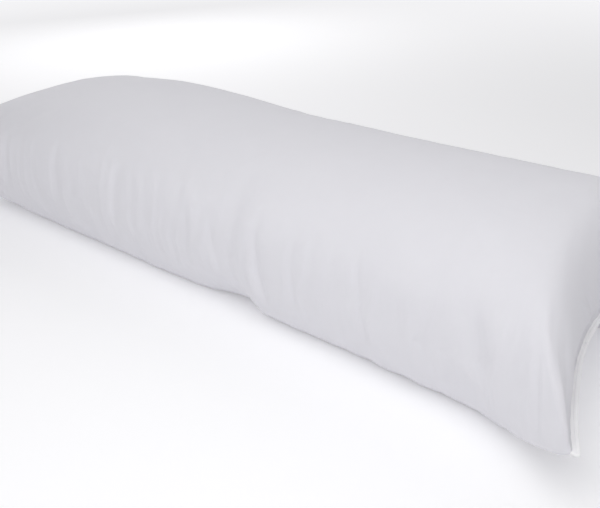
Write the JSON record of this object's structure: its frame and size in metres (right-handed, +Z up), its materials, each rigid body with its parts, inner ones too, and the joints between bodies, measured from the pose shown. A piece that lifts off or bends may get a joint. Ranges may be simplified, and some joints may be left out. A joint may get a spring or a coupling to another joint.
{
  "type": "body pillow",
  "caption": "Long stuffed cotton body pillow lying on its back, crowned, with drawn-in end seams between soft pointed ears and a stitched closing lip along one end.",
  "frame": {"origin": "middle of the pillow's footprint, on the surface that it lies on", "axes": "+X along the pillow towards the stitched closing end, +Y towards its back long side, +Z up through the crown"},
  "size_m": [1.338, 0.5113, 0.2281],
  "materials": {
    "cotton_cover": "closely woven plain white cotton, matt"
  },
  "bodies": {
    "root": {"pillow": "cotton_cover"}
  },
  "joints": []
}
